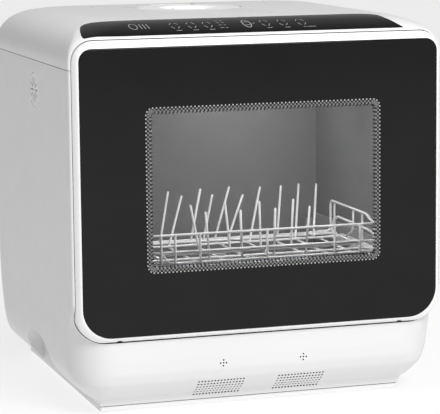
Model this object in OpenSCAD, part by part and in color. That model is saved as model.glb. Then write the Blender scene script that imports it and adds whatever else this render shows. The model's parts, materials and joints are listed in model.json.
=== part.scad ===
// Countertop dishwasher: casing, drop-down glass door, sliding wire rack and wash system.
// Millimetres, +Z up, origin at the middle of the footprint on the surface it stands on.
// Inside the modules y runs back from the casing's front rim; place() moves it to the origin.

/* [Casing] */
// Width of the casing over its two sides
body_w = 420; // [418:0.5:422]
// Depth of the casing from its front rim to its rear wall
body_d = 380; // [379:0.5:382]
// Wall thickness of the white mouldings
wall = 2.5; // [2.2:0.1:2.8]
// Radius of the rubber feet
foot_r = 11; // [8:0.5:13]

/* [Door] */
// Thickness of the outer black pane
glass_t = 3.9; // [3:0.1:3.9]
// Thickness of the inner clear pane
pane_t = 3.2; // [2.4:0.1:3.3]
// Radius of the two hinge pins
pin_r = 2; // [1.6:0.1:2.2]
// Radial clearance of a turning fit
run_gap = 0.05; // [0.02:0.01:0.09]

/* [Rack] */
// Radius of the thick rack wires
wire_r = 1.5; // [1.3:0.1:1.6]
// Radius of the tines
tine_r = 1.35; // [1.1:0.05:1.5]

/* [Fill lid] */
// Radius of the round fill lid
lid_r = 61; // [59:0.5:61.5]

/* [Wash system] */
// Reach of the lower spray arm from its hub
arm_reach = 118; // [90:1:120]
// Number of blades on the drying fan
fan_blades = 14; // [8:1:18]

/* [Hidden] */
hw = body_w / 2;
y_mid = 195;
$fn = 48;
white = [0.93, 0.93, 0.93];
black = [0.05, 0.05, 0.055];
grey = [0.55, 0.56, 0.58];
steel = [0.74, 0.75, 0.77];
hinge_y = 0;
hinge_z = 93;
open_w = hw - 2.8;
lid_y = 262;
axis_y = 155;
fil_x = 90;
fil_y = 92;
grille_w = 51;

// ---- outline helpers ----
function arc(cx, cy, r, a0, a1, n) =
  [for (i = [0:n]) let (a = a0 + (a1 - a0) * i / n) [cx + r * cos(a), cy + r * sin(a)]];
// rounded rectangle: rb is the radius of the low corners, rt of the high corners
function rrect(w, z0, z1, rb, rt, n = 6) = concat(
  arc(w - rt, z1 - rt, rt, 0, 90, n), arc(-w + rt, z1 - rt, rt, 90, 180, n),
  arc(-w + rb, z0 + rb, rb, 180, 270, n), arc(w - rb, z0 + rb, rb, 270, 360, n));
// plan outline: s side inset, f front inset, r rear inset, rf and rr corner radii, e extra inset
function plan(s, f, r, rf, rr, e) = let (x = hw - s - e, a = f + e, b = body_d - r - e,
  p = max(rf - e, 0.6), q = max(rr - e, 0.6)) concat(
  arc(x - p, a + p, p, 270, 360, 5), arc(x - q, b - q, q, 0, 90, 5),
  arc(-x + q, b - q, q, 90, 180, 5), arc(-x + p, a + p, p, 180, 270, 5));
// casing outline by height: [z, side, front, rear, front corner, rear corner]
low = [[8, 35.6, 35.6, 0.5, 3, 3], [11, 35.4, 35.4, 0.5, 3.5, 3.5], [13.5, 34, 34, 0.5, 6, 6], [16, 31.8, 31.8, 0.5, 9, 8],
  [19, 27, 27, 0.5, 15, 11], [22, 22.6, 22.6, 0.5, 21, 14], [26, 17.5, 17.5, 0.5, 28, 18], [31, 12.9, 12.9, 0.5, 32, 22],
  [36, 9, 9, 0.5, 36, 25], [42, 6.1, 6.1, 1, 40, 28], [48, 3.8, 3.8, 2, 44, 30], [55, 2.6, 2.6, 2.2, 45, 30],
  [62, 1.6, 1.6, 1.8, 46, 30], [72, 0.9, 0.9, 1.2, 45, 29], [84, 0.4, 0.4, 0.8, 42, 27], [100, 0.1, 0.1, 0.3, 32, 24],
  [116, 0, 0, 0, 14, 21], [128, 0, 0, 0, 4, 20], [375.2, 0, 0, 0, 4, 20]];
low_in = concat([[4, 35.6, 35.6, 0.5, 3, 3], [11.5, 35.4, 35.4, 0.5, 3.5, 3.5]],
  [for (q = low) if (q[0] > 12 && q[0] < 370) [q[0] + 1.2, q[1], q[2], q[3], q[4], q[5]]],
  [[380, 0, 0, 0, 4, 20]]);
// shoulder of the top cover: a soft superellipse at the sides, a slope at the front
sh_a = 60;
sh_b = 46;
function shoulder(z) = let (t = min(1, max(0, (z - 376) / sh_b)))
  sh_a * (1 - pow(1 - pow(t, 2.5), 0.4));
front_run = [[375.4, 0], [400, 0], [406.5, 0.2], [409.5, 4.5], [413.5, 14], [417, 26],
  [419.7, 39], [421.3, 53], [422, 68]];
function topslice(z, f) = let (t = max(0, (z - 376) / sh_b))
  [z, shoulder(z), f, 24 * (1 - sqrt(max(0, 1 - t * t * t * t))), 4 + 36 * t * t, 20 + 24 * t];
upper = concat([topslice(375.4, 0), topslice(388, 0), topslice(395, 0)],
  [for (q = front_run) if (q[0] > 399) topslice(q[0], q[1])]);

module place() { translate([0, -y_mid, 0]) children(); }
module along_y(y0, y1) { translate([0, y1, 0]) rotate([90, 0, 0]) linear_extrude(y1 - y0) children(); }
module along_x(x0, x1) { translate([x0, 0, 0]) rotate([90, 0, 90]) linear_extrude(x1 - x0) children(); }
module ycyl(x, z, y0, y1, r) { translate([x, y1, z]) rotate([90, 0, 0]) cylinder(r = r, h = y1 - y0); }
module xcyl(y, z, x0, x1, r) { translate([x0, y, z]) rotate([0, 90, 0]) cylinder(r = r, h = x1 - x0); }
module zcyl(x, y, z0, z1, r) { translate([x, y, z0]) cylinder(r = r, h = z1 - z0); }
module box(a, b) { translate(a) cube(b - a); }
module both() { children(); mirror([1, 0, 0]) children(); }
module rod(a, b, r, n = 24) {
  d = b - a; l = norm(d);
  translate(a) rotate([0, acos(d[2] / l), atan2(d[1], d[0])]) cylinder(r = r, h = l, $fn = n);
}
module pipe(p, r, d = 0.3) { // straight runs joined by balls
  for (i = [0:len(p) - 2]) rod(p[i], p[i + 1], r);
  for (i = [1:len(p) - 2]) translate(p[i]) sphere(r = r + d, $fn = 24);
}
module loft(S, e = 0, dz = 0) { // skin over a stack of plan outlines, low to high
  m = 24;
  n = len(S);
  polyhedron(points = [for (q = S) for (p = plan(q[1], q[2], q[3], q[4], q[5], e)) [p[0], p[1], q[0] - dz]],
    faces = concat([[for (i = [0:m - 1]) i]], [[for (i = [m - 1:-1:0]) (n - 1) * m + i]],
      [for (k = [0:n - 2], i = [0:m - 1]) [k * m + i, (k + 1) * m + i, (k + 1) * m + (i + 1) % m]],
      [for (k = [0:n - 2], i = [0:m - 1]) [k * m + i, (k + 1) * m + (i + 1) % m, k * m + (i + 1) % m]]));
}
module arch(e = 0) { // grip recess outline in y, z
  polygon([[118 - e, 20], [122 - e, 40 + e / 2], [128 - e, 50 + e], [142 - e / 2, 58 + e], [160, 64 + e],
    [178, 67 + e], [205, 67 + e], [218 + e / 2, 64 + e], [232 + e, 55 + e], [238 + e, 46 + e / 2], [241 + e, 20]]);
}

// ---- casing ----
module main_housing() {
  color(white) place() difference() {
    loft(low);
    difference() {
      loft(low_in, wall);
      along_y(-5, 22) polygon(rrect(hw + 2, 81.6, 420, 36, 10));
      both() along_x(-hw - 5, -hw + 26) arch(2);
    }
    along_y(-1, 22.5) polygon(rrect(open_w, 84, 401, 33, 10));
    both() along_x(-hw - 1, -hw + 24) arch();
    box([-192, body_d - wall - 1, 128], [192, body_d + 1, 362]);
    xcyl(160, 342, -hw - 1, -hw + wall + 1, 19);
    for (x = [-196.5, 196.5], z = [140, 250, 350]) ycyl(x, z, body_d - 5, body_d + 1, 1.7);
    for (x = [-43, 48.6]) for (d = [[0, 0], [3.3, 0], [-3.3, 0], [0, 3.3], [0, -3.3]])
      ycyl(x + d[0], 53.3 + d[1], -1, 8, 0.95);
    for (x0 = [-68, 23.6], r = [0:5], c = [0:14])
      translate([x0 + c * grille_w / 14, 12.25 + r * 4.3, 32.2 - r * 3.72]) rotate([-41, 0, 0])
        translate([0, 0, -7]) cylinder(r = 1.1, h = 11, $fn = 6);
  }
}
module top_cover() {
  color(white) place() difference() {
    loft(upper);
    difference() {
      loft(concat([topslice(370, 0)], upper), wall, wall);
      along_y(-5, 22) polygon(rrect(hw + 2, 300, 408.8, 10, 28));
    }
    along_y(-1, 22.5) polygon(rrect(open_w, 299, 406.6, 10, 24.5));
    zcyl(0, lid_y, 400, 430, 62.2);
    box([-26, 314, 410], [26, 337, 430]);
    difference() {
      strip_region(0.25);
      loft(upper, 1.8, 1.8);
    }
  }
}
// outline of the touch strip: slanted left end, swept right end
strip_pts = [[-190, 5], [-150, 4], [166, 4], [164.3, 6.9],
  [161.3, 13.9], [158.2, 23.6], [155.4, 34.3], [154.6, 41],
  [153.9, 49.8], [151.6, 54.5], [146, 60], [140, 63],
  [128, 64], [-166, 64], [-173, 62.5], [-179, 58],
  [-183, 51], [-186.5, 39], [-189, 28], [-191, 16],
  [-191.3, 8]];
// corner k of the strip's outline moved out by e along its own normal
function strip_pt(k, e) = let (n = len(strip_pts), a = strip_pts[(k + n - 1) % n], b = strip_pts[(k + 1) % n],
  d = (b - a) / norm(b - a)) strip_pts[k] + e * [d[1], -d[0]];
module strip_region(e) {
  translate([0, 0, 395]) linear_extrude(40) polygon([for (k = [0:len(strip_pts) - 1]) strip_pt(k, e)]);
}
module control_panel_glass() {
  color(black) place() difference() {
    intersection() { loft(upper); strip_region(0); }
    loft(upper, 1.7, 1.7);
  }
}
module base_plinth() {
  color(white) place() difference() {
    union() {
      translate([0, 0, 2]) linear_extrude(5.8) polygon(plan(37.4, 37.4, 4, 3, 3, 0));
      translate([0, 0, 2]) linear_extrude(10) polygon(plan(37.4, 37.4, 4, 3, 3, 2.4));
    }
    translate([0, 0, 5]) linear_extrude(10) polygon(plan(37.4, 37.4, 4, 3, 3, 5));
  }
}
module rubber_feet() {
  color([0.15, 0.15, 0.15]) place() for (x = [-148, 148], y = [72, 335])
    difference() { zcyl(x, y, 0, 2, foot_r); zcyl(x, y, -1, 0.8, foot_r - 4); }
}
module left_air_vent() {
  color(white) place() difference() {
    union() { xcyl(160, 342, -hw + 0.1, -hw + 4.1, 18.7); xcyl(160, 342, -hw + wall + 0.1, -hw + 4.1, 22); }
    xcyl(160, 342, -hw - 1, -hw + 5, 2.2);
    for (a = [0:30:330]) translate([0, 160, 342]) rotate([a, 0, 0])
      box([-hw - 1, -1.1, 6], [-hw + 5, 1.1, 15.5]);
  }
}
module rear_panel() {
  color(grey) place() difference() {
    along_y(body_d + 0.05, body_d + 1.6) polygon(rrect(201, 120, 371, 8, 8));
    for (z = [210:12:294]) box([-150, body_d - 1, z], [-60, body_d + 3, z + 4]);
    ycyl(120, 150, body_d - 1, body_d + 3, 13.5);
    ycyl(165, 146, body_d - 1, body_d + 3, 9.8);
    ycyl(-150, 150, body_d - 1, body_d + 3, 7.8);
    for (x = [-196.5, 196.5], z = [140, 250, 350]) ycyl(x, z, body_d - 1, body_d + 3, 1.7);
  }
}
module rear_panel_screws() {
  color(steel) place() for (x = [-196.5, 196.5], z = [140, 250, 350]) difference() {
    union() { ycyl(x, z, body_d + 1.65, body_d + 3.6, 3.4); ycyl(x, z, body_d - 6, body_d + 2, 1.5); }
    box([x - 2.4, body_d + 2.6, z - 0.4], [x + 2.4, body_d + 4, z + 0.4]);
    box([x - 0.4, body_d + 2.6, z - 2.4], [x + 0.4, body_d + 4, z + 2.4]);
  }
}
// ---- control, fill and tank ----
module control_board() {
  color([0.1, 0.35, 0.2]) place() {
    box([-130, 30, 408], [130, 58, 409.6]);
    box([-22, 36, 409.5], [12, 52, 412.6]);
    for (x = [-90, -70, -52, 30, 50]) zcyl(x, 44, 409.5, 412, 6);
    for (x = [-122, 122], y = [34, 54]) zcyl(x, y, 409.5, 413.5, 3);
  }
}
module fill_funnel() {
  color(white) place() difference() {
    union() {
      translate([0, lid_y, 0]) rotate_extrude($fn = 96) polygon([[62.4, 419.2], [68, 419.2], [68, 417],
        [64.4, 417], [64.4, 404.6], [47, 400.4], [45.5, 400.4], [45.5, 393], [43.5, 393], [43.5, 402],
        [62.4, 406.4]]);
      both() box([10.4, 318, 409], [15, 335.5, 418.6]);
      box([-15, 333.7, 409], [15, 335.5, 415]);
      box([-15, 325, 406.5], [15, 335.5, 409.5]);
    }
    box([-10.2, 300, 409.8], [10.2, 333.6, 430]);
    xcyl(329, 416.3, -20, 20, 1.5 + 0.02);
    zcyl(0, lid_y, 409, 430, 62.3);
  }
}
module lid_hinge_pin() { color(steel) place() xcyl(329, 416.3, -14, 14, 1.5); }
module fill_lid() {
  color(white) place() difference() {
    union() {
      translate([0, lid_y, 0]) rotate_extrude($fn = 96) polygon([[0, 413], [20, 413], [34, 419.5],
        [47.5, 419.6], [47.5, 409.5], [49.5, 409.5], [49.5, 419.6], [lid_r, 419.6], [lid_r, 421.4],
        [lid_r - 0.6, 421.9], [35, 421.9], [20.5, 415.3], [0, 415.3]]);
      box([-19, lid_y - 4, 414], [19, lid_y + 4, 421.4]);
      box([-9, 318, 416.8], [9, 327.5, 421]);
      xcyl(329, 416.3, -9.9, 9.9, 3.2);
      box([-9, 325, 415], [9, 329, 419]);
    }
    xcyl(329, 416.3, -20, 20, 1.5 + run_gap);
  }
}
module water_tank() {
  color([0.85, 0.88, 0.9]) place() difference() {
    union() {
      box([-195, 306, 125], [75, 367, 378]);
      box([-72, 203, 378], [72, 367, 399.8]);
      zcyl(-60, 336, 117, 126, 8);
    }
    box([-192.5, 308.5, 127.5], [72.5, 364.5, 375.5]);
    box([-69.5, 205.5, 380.5], [69.5, 364.5, 397.3]);
    box([-69.5, 308.5, 370], [69.5, 364.5, 390]);
    zcyl(0, lid_y, 396, 401, 46.5);
    zcyl(-60, 336, 116, 130, 5);
  }
}
// ---- wash chamber ----
module tub() {
  color(steel) place() difference() {
    union() {
      along_y(22.3, 292) polygon(rrect(170, 116, 374, 22, 22));
      along_y(22.3, 24.2) polygon(rrect(205.8, 83, 405, 33, 40));
    }
    along_y(21, 290) polygon(rrect(168, 118, 372, 20, 20));
    zcyl(fil_x, fil_y, 115, 119, 44);
    zcyl(0, axis_y, 110, 120, 8.4);
    zcyl(0, axis_y, 370, 376, 6.6);
    xcyl(160, 342, -172, -166, 13);
    ycyl(150, 392, 20, 26, 2.5);
    both() box([156.8, 20, 88.6], [162.2, 26, 97.4]);
    for (x = [-192, 192], z = [126, 372]) ycyl(x, z, 20, 26, 1.7);
  }
}
module tub_screws() {
  color(steel) place() for (x = [-192, 192], z = [126, 372]) {
    ycyl(x, z, 20.4, 22.25, 3.6); ycyl(x, z, 22, 31, 1.5);
  }
}
module tub_seal() {
  color([0.22, 0.22, 0.23]) place() along_y(18.4, 22.2) difference() {
    polygon(rrect(178, 108, 382, 28, 28));
    polygon(rrect(171, 115, 375, 22, 22));
  }
}
module rack_rails() {
  color([0.8, 0.8, 0.8]) place() both() {
    box([152, 28, 148], [167.8, 286, 151.8]);
    box([165, 28, 148], [167.8, 286, 166]);
    box([152, 283, 148], [167.8, 286, 160]);
  }
}
module sump() {
  color([0.3, 0.3, 0.32]) place() difference() {
    union() { zcyl(fil_x, fil_y, 62, 115.7, 50); zcyl(fil_x, fil_y, 112.7, 115.7, 56); }
    zcyl(fil_x, fil_y, 65, 117, 47);
    xcyl(fil_y, 78, 30, 60, 7);
  }
}
module filter_plate() {
  color(steel) place() difference() {
    zcyl(fil_x, fil_y, 118.2, 119.4, 57.5);
    zcyl(fil_x, fil_y, 117, 121, 33.6);
    for (a = [0:15:345]) translate([fil_x, fil_y, 0]) rotate(a) zcyl(39, 0, 117, 121, 2.2);
  }
}
module filter_cup() {
  color([0.62, 0.63, 0.65]) place() union() {
    difference() {
      union() { zcyl(fil_x, fil_y, 70, 121, 33); zcyl(fil_x, fil_y, 119.8, 121.4, 37.5); }
      zcyl(fil_x, fil_y, 72, 123, 31);
      for (a = [0:30:330], z = [82, 96]) translate([fil_x, fil_y, z]) rotate(a) box([28, -2.5, 0], [36, 2.5, 9]);
    }
    translate([fil_x, fil_y, 0]) for (a = [0, 90]) rotate(a) box([-31.5, -1.4, 113], [31.5, 1.4, 121]);
    zcyl(fil_x, fil_y, 113, 124, 5);
  }
}
module wash_pump_housing() {
  color([0.25, 0.26, 0.28]) place() difference() {
    union() {
      xcyl(fil_y, 74, -58, -35, 31);
      ycyl(-46.5, 97, fil_y, 124, 7);
    }
    xcyl(fil_y, 74, -55.5, -37.5, 28.5);
    xcyl(fil_y, 74, -38, -34, 7);
    xcyl(fil_y, 74, -60, -54, 3 + run_gap);
    ycyl(-46.5, 97, fil_y + 4, 125, 5);
  }
}
module pump_impeller() {
  color([0.75, 0.75, 0.72]) place() {
    xcyl(fil_y, 74, -68, -42, 3);
    xcyl(fil_y, 74, -53.5, -51.5, 23);
    translate([0, fil_y, 74]) for (a = [0:60:300]) rotate([a, 0, 0]) box([-52, -1, 2], [-41, 1, 22]);
  }
}
module wash_pump_motor() {
  color([0.35, 0.36, 0.38]) place() difference() {
    union() { xcyl(fil_y, 74, -128, -60, 27); box([-120, fil_y - 20, 40], [-68, fil_y + 20, 50]); }
    xcyl(fil_y, 74, -70, -59, 3 + run_gap);
  }
}
module pump_hose() { color([0.12, 0.12, 0.12]) place() rod([-34.7, fil_y, 76], [39.4, fil_y, 78], 9); }
module heater_can() {
  color(steel) place() { ycyl(-46.5, 97, 124.3, 166, 13); both_terminals(); }
}
module both_terminals() { for (y = [132, 158]) zcyl(-46.5, y, 76, 86, 2.5); }
module feed_manifold() {
  color([0.4, 0.41, 0.43]) place() union() {
    box([-53.8, 166.4, 90], [-39.5, 193, 104]);
    box([-53.8, 178, 89.4], [8, 193.6, 104.6]);
    box([-9, 145, 88.8], [9, 194.2, 105.2]);
    zcyl(0, axis_y, 97, 127.5, 8);
    zcyl(0, axis_y, 127, 144, 5);
    zcyl(0, axis_y, 143.4, 147, 8);
  }
}
module upper_feed_pipe() {
  color([0.4, 0.41, 0.43]) place() union() {
    pipe([[-54.2, 186, 97], [-90, 186, 97], [-90, 299, 97], [-90, 299, 383.5], [-90, axis_y, 383.5],
      [0, axis_y, 383.5], [0, axis_y, 372]], 5.8);
    zcyl(0, axis_y, 347, 384, 5);
    zcyl(0, axis_y, 345, 348.6, 8);
  }
}
module lower_spray_arm() {
  color([0.6, 0.62, 0.65]) place() translate([0, axis_y, 0]) difference() {
    union() {
      zcyl(0, 0, 128, 143, 14);
      box([-arm_reach, -10, 130], [arm_reach, 10, 138]);
      for (s = [-1, 1]) zcyl(s * arm_reach, 0, 130, 138, 10);
      for (s = [-1, 1], i = [1:4]) zcyl(s * (20 + i * (arm_reach - 30) / 4), s * 4, 137, 139.5, 3);
    }
    zcyl(0, 0, 120, 150, 5 + run_gap);
    for (s = [-1, 1], i = [1:4]) zcyl(s * (20 + i * (arm_reach - 30) / 4), s * 4, 136, 141, 1.2);
  }
}
module upper_spray_arm() {
  color([0.6, 0.62, 0.65]) place() translate([0, axis_y, 0]) difference() {
    union() {
      zcyl(0, 0, 349, 365, 13);
      box([-95, -9, 354], [95, 9, 361]);
      for (s = [-1, 1]) zcyl(s * 95, 0, 354, 361, 9);
      for (s = [-1, 1], x = [40, 62, 84]) zcyl(s * x, -s * 4, 352.5, 355, 3);
    }
    zcyl(0, 0, 340, 370, 5 + run_gap);
  }
}
module tank_hose() {
  color([0.12, 0.12, 0.12]) place()
    pipe([[-60, 336, 116.6], [-60, 336, 84], [30, 296, 76], [90, 205, 76], [90, 143, 78]], 5.5, 2.8);
}
module drain_pump() {
  color([0.2, 0.22, 0.25]) place() {
    zcyl(126, 190, 62, 84, 24);
    zcyl(126, 190, 30, 62.5, 17);
    rod([112.7, 138.6, 73], [122, 172, 73], 6);
    ycyl(133, 73, 205, 236, 6);
  }
}
module drain_hose() {
  color([0.12, 0.12, 0.12]) place()
    pipe([[133, 236.4, 73], [133, 300, 76], [165, 326, 112], [165, 346, 146], [165, 359.4, 146]], 7);
}
module drain_spigot() {
  color([0.3, 0.3, 0.32]) place() difference() {
    union() { ycyl(165, 146, 360, 397, 9.5); ycyl(165, 146, body_d + 1.7, body_d + 4, 13); }
    ycyl(165, 146, 359, 398, 7);
  }
}
module inlet_connector() {
  color([0.85, 0.85, 0.85]) place() difference() {
    union() { ycyl(120, 150, 366, 398, 13.2); ycyl(120, 150, body_d + 1.7, body_d + 4, 17); }
    ycyl(120, 150, 365, 399, 8);
  }
}
module inlet_valve() {
  color([0.2, 0.3, 0.5]) place() {
    box([104, 328, 133], [136, 358, 167]);
    ycyl(120, 150, 350, 365.7, 11);
    zcyl(120, 343, 166, 188, 11);
  }
}
module inlet_hose() { color([0.12, 0.12, 0.12]) place() rod([75.3, 343, 150], [103.7, 343, 150], 6); }
module cable_gland() {
  color([0.1, 0.1, 0.1]) place() difference() {
    union() { ycyl(-150, 150, 372, 392, 7.5); translate([-150, body_d + 4.7, 150]) rotate([90, 0, 0]) cylinder(r = 11.5, h = 3, $fn = 6); }
    ycyl(-150, 150, 371, 393, 4.2);
  }
}
module fan_housing() {
  color([0.2, 0.2, 0.22]) place() difference() {
    xcyl(160, 342, -204.5, -176, 30);
    xcyl(160, 342, -202.5, -178, 28);
    xcyl(160, 342, -206, -202, 18);
    for (a = [0:45:315]) translate([0, 160, 342]) rotate([a, 0, 0]) xcyl(18, 0, -180, -174, 5);
  }
}
module fan_motor() { color(grey) place() { xcyl(160, 342, -191, -178.1, 9); xcyl(160, 342, -198, -190, 1.5); } }
module fan_rotor() {
  color([0.15, 0.15, 0.16]) place() difference() {
    union() {
      xcyl(160, 342, -200.5, -198.4, 25);
      xcyl(160, 342, -199, -192, 5);
      translate([0, 160, 342]) for (i = [0:fan_blades - 1]) rotate([i * 360 / fan_blades, 0, 0])
        box([-199, -0.7, 13], [-181, 0.7, 24.6]);
    }
    xcyl(160, 342, -198.3, -190, 1.5 + run_gap);
  }
}
module air_duct() {
  color([0.2, 0.2, 0.22]) place() difference() { xcyl(160, 342, -175.8, -166.5, 12.6); xcyl(160, 342, -177, -165, 10.5); }
}
module interior_lamp() { color([0.95, 0.95, 0.85]) place() { zcyl(95, 62, 367.5, 371.8, 14); zcyl(95, 62, 366, 368, 11); } }
module power_board() {
  color([0.1, 0.35, 0.2]) place() {
    box([-178, 196, 44], [-116, 288, 45.6]);
    box([-172, 205, 45.5], [-146, 235, 68]);
    box([-136, 210, 45.5], [-122, 250, 60]);
    zcyl(-158, 262, 45.5, 70, 9);
    for (x = [-174, -120], y = [200, 284]) zcyl(x, y, 36, 44.2, 3);
  }
}
module hinge_brackets() {
  color(steel) place() both() difference() {
    union() {
      xcyl(hinge_y, hinge_z, 158, 161, 3.8);
      box([158, 0, hinge_z - 3.8], [161, 27, hinge_z + 3.8]);
      box([148, 24.5, 86], [174, 27, 108]);
    }
    xcyl(hinge_y, hinge_z, 150, 170, pin_r + run_gap);
  }
}
module catch_plate() { color(steel) place() box([-22, 18.6, 387], [22, 22.25, 399]); }
module door_switch() {
  color([0.1, 0.1, 0.1]) place() difference() {
    box([140, 24.5, 385], [160, 46, 399]);
    ycyl(150, 392, 24, 42.5, 2 + run_gap);
  }
}
module switch_plunger() { color([0.85, 0.2, 0.15]) place() ycyl(150, 392, 18.4, 42, 2); }
// ---- door ----
module door_frame() {
  color(white) place() difference() {
    union() {
      hull() {
        along_y(-7.2, -7.1) polygon(rrect(201, 90.5, 398.2, 32.6, 14.2));
        along_y(-0.1, 0) polygon(rrect(206.7, 85.5, 405.6, 31.5, 24));
      }
      along_y(-0.05, 10) polygon(rrect(206.7, 85.5, 405.6, 31.5, 24));
    }
    along_y(-9, -4) polygon(rrect(200.5, 91, 397.7, 32.2, 13.7));
    along_y(-10, 11) polygon(rrect(176, 118, 372, 20, 20));
    both() box([156.7, -4, 80], [162.3, 11, 97.3]);
    both() xcyl(hinge_y, hinge_z, 150.5, 168.6, pin_r + 0.02);
  }
}
module door_glass() { color(black) place() along_y(-8, -8 + glass_t) polygon(rrect(200.3, 91.2, 397.5, 32, 13.5)); }
module door_liner() {
  color([0.82, 0.83, 0.84]) place() difference() {
    union() {
      along_y(14.6, 18) polygon(rrect(196, 97, 396, 26, 26));
      along_y(10.1, 14.7) difference() { polygon(rrect(196, 97, 396, 26, 26)); polygon(rrect(193, 100, 393, 23, 23)); }
      along_y(10.1, 14.7) difference() { polygon(rrect(153, 137, 357, 18, 18)); polygon(rrect(147, 142.8, 351, 14, 14)); }
    }
    along_y(9, 19) polygon(rrect(140, 149.5, 344, 12, 12));
    box([-52, 9, 118.6], [52, 19, 136.4]);
    box([-16, 9, 387], [16, 19, 398]);
    both() box([156.7, 9, 95], [162.3, 19, 104]);
  }
}
module inner_window() { color([0.7, 0.8, 0.82, 0.4]) place() along_y(11.1, 11.1 + pane_t) polygon(rrect(146.7, 143.1, 350.7, 13.8, 13.8)); }
module window_gasket() {
  color([0.2, 0.2, 0.2]) place() along_y(10.1, 11) difference() {
    polygon(rrect(146.5, 143.3, 350.5, 13.6, 13.6)); polygon(rrect(140, 149.5, 344, 12, 12));
  }
}
module detergent_cup() {
  color([0.75, 0.76, 0.78]) place() difference() {
    box([-51.7, 2.5, 118.9], [51.7, 17.9, 136.1]);
    box([-49.7, 4.5, 120.9], [49.7, 19, 134.1]);
  }
}
module door_magnet() { color([0.25, 0.25, 0.27]) place() box([-15.7, 10.3, 387.3], [15.7, 17.9, 395.7]); }
module hinge_pins() { color(steel) place() both() xcyl(hinge_y, hinge_z, 150.8, 168.3, pin_r); }
// ---- rack, in octagonal wire ----
rack_f = 40;
rack_b = 190;
rack_w = 150;
module wire(a, b, r = wire_r) { rod(a, b, r, 8); }
module path(p, r = wire_r) { for (i = [0:len(p) - 2]) wire(p[i], p[i + 1], r); }
module rack_frame() {
  color(white) place() {
    wire([-rack_w - wire_r, rack_f, 190], [rack_w + wire_r, rack_f, 190]);
    wire([-rack_w - wire_r, rack_f, 171.3], [rack_w + wire_r, rack_f, 171.3]);
    wire([-rack_w, rack_b, 195.5], [-rack_w, rack_b, 158]);
    wire([rack_w, rack_b, 195.5], [rack_w, rack_b, 158]);
    wire([-100, rack_f + 0.6, 168.4], [130, rack_f + 0.6, 168.4], tine_r);
    both() {
      path([[rack_w, rack_f - 1, 190], [rack_w, 62, 190], [rack_w, 74, 195.5], [rack_w, rack_b + 1, 195.5]]);
      path([[rack_w, rack_f - 1, 171.3], [rack_w, 60, 178], [rack_w, 168, 179.5], [rack_w - 4, 176, 170], [rack_w - 4, 176, 157]]);
      for (y = [92, 181]) wire([rack_w + 1.4, y, 196], [rack_w + 1.4, y, 157], tine_r);
      path([[rack_w + 1.4, 120, 196], [rack_w + 1.4, 120, 170], [rack_w + 1.4, 148, 157]], tine_r);
    }
    for (x = [-101.5, -85.6, -57.4, 19.5, 98, 128]) wire([x, rack_f - 1.6, 191], [x, rack_f - 1.6, 157.5], tine_r);
  }
}
module rack_floor() {
  color(white) place() {
    wire([-rack_w, rack_f, 158], [rack_w, rack_f, 158]);
    wire([-rack_w, rack_b, 157.6], [rack_w, rack_b, 157.6]);
    for (x = [-rack_w + 1.5, rack_w - 1.5]) wire([x, rack_f - 1, 157.2], [x, rack_b + 1, 157.2]);
    for (x = [-120, -90, -58, -26, 4, 36, 70, 96, 124]) wire([x, rack_f - 0.5, 157], [x, rack_b + 0.5, 157], tine_r);
    for (y = [62, 104, 150, 172]) wire([-rack_w - 1, y, 159.2], [rack_w + 1, y, 159.2], tine_r);
  }
}
module front_tines() {
  color(white) place() {
    for (i = [0:3]) let (b = -45.4 + 36.8 * i) wire([b, 42, 157.5], [1.09 * b, 44, 212], tine_r);
    for (i = [0:3]) wire([-38 + 36 * i, 104, 158], [-49.5 + 40.3 * i, 100, 212], tine_r);
  }
}
rear_set = [[[-58, 158, 158], [-34, 187, 210]], [[-9, 184, 158], [4, 190, 209]], [[17, 174, 158], [41, 190, 207]],
  [[41, 165, 158], [67, 204, 213]], [[80, 181, 158], [93, 204, 213]], [[95, 160, 158], [115, 204, 214]],
  [[117, 159, 158], [137, 204, 213]], [[-60, 188, 158], [-45, 204, 213]], [[-23, 188, 158], [-6, 204, 214]],
  [[6, 188, 158], [29, 204, 215]], [[-90, 160, 158], [-74, 188, 211]], [[-118, 160, 158], [-108, 188, 211]]];
module rear_tines() { color(white) place() for (q = rear_set) wire(q[0], q[1], tine_r); }
module rack_runners() {
  color([0.85, 0.85, 0.85]) place() both() difference() {
    box([147, 46, 152.1], [163.5, 186, 155.9]);
    for (y = [56, 98, 140]) box([153, y, 151], [160, y + 32, 157]);
  }
}

main_housing();
top_cover();
rear_panel();
base_plinth();
rubber_feet();
left_air_vent();
control_panel_glass();
control_board();
fill_funnel();
lid_hinge_pin();
water_tank();
tub();
tub_seal();
sump();
filter_plate();
wash_pump_housing();
wash_pump_motor();
heater_can();
feed_manifold();
upper_feed_pipe();
pump_hose();
tank_hose();
drain_pump();
drain_hose();
drain_spigot();
inlet_valve();
inlet_hose();
inlet_connector();
cable_gland();
fan_housing();
fan_motor();
air_duct();
interior_lamp();
power_board();
hinge_brackets();
catch_plate();
door_switch();
rack_rails();
tub_screws();
rear_panel_screws();
door_frame();
door_glass();
door_liner();
inner_window();
window_gasket();
detergent_cup();
door_magnet();
hinge_pins();
rack_frame();
rack_floor();
front_tines();
rear_tines();
rack_runners();
lower_spray_arm();
upper_spray_arm();
filter_cup();
pump_impeller();
fan_rotor();
fill_lid();
switch_plunger();
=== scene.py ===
"""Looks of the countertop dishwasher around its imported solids."""
import bpy
import bmesh
import json
import math
import random
import numpy as np
from mathutils import Vector, Matrix
from mathutils.bvhtree import BVHTree


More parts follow.
